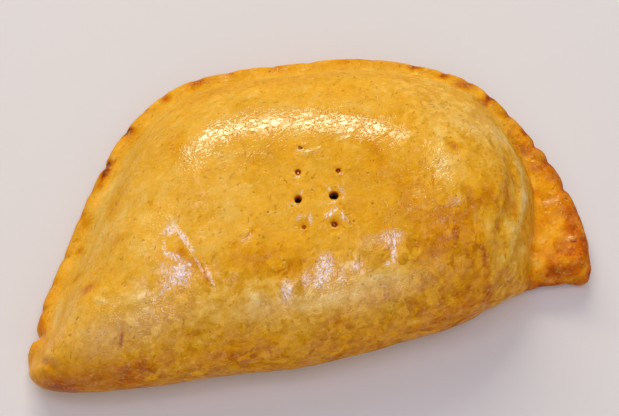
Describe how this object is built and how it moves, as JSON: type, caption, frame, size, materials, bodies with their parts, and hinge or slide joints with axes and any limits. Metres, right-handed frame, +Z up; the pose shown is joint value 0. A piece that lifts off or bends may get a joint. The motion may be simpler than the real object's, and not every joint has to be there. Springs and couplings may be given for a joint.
{
  "type": "empanada",
  "caption": "Baked half-moon pastry with a folded front, a plump filled middle, a finger-pinched curved edge and fork pricks on top.",
  "frame": {"origin": "middle of the bounding box, on the tray the pastry rests on", "axes": "+X along the fold, from the left tip to the flat corner flap; +Y from the fold to the pinched edge; +Z up"},
  "size_m": [0.1528, 0.0926, 0.0342],
  "materials": {
    "crust": null
  },
  "bodies": {
    "root": {"empanada": "crust"}
  },
  "joints": []
}
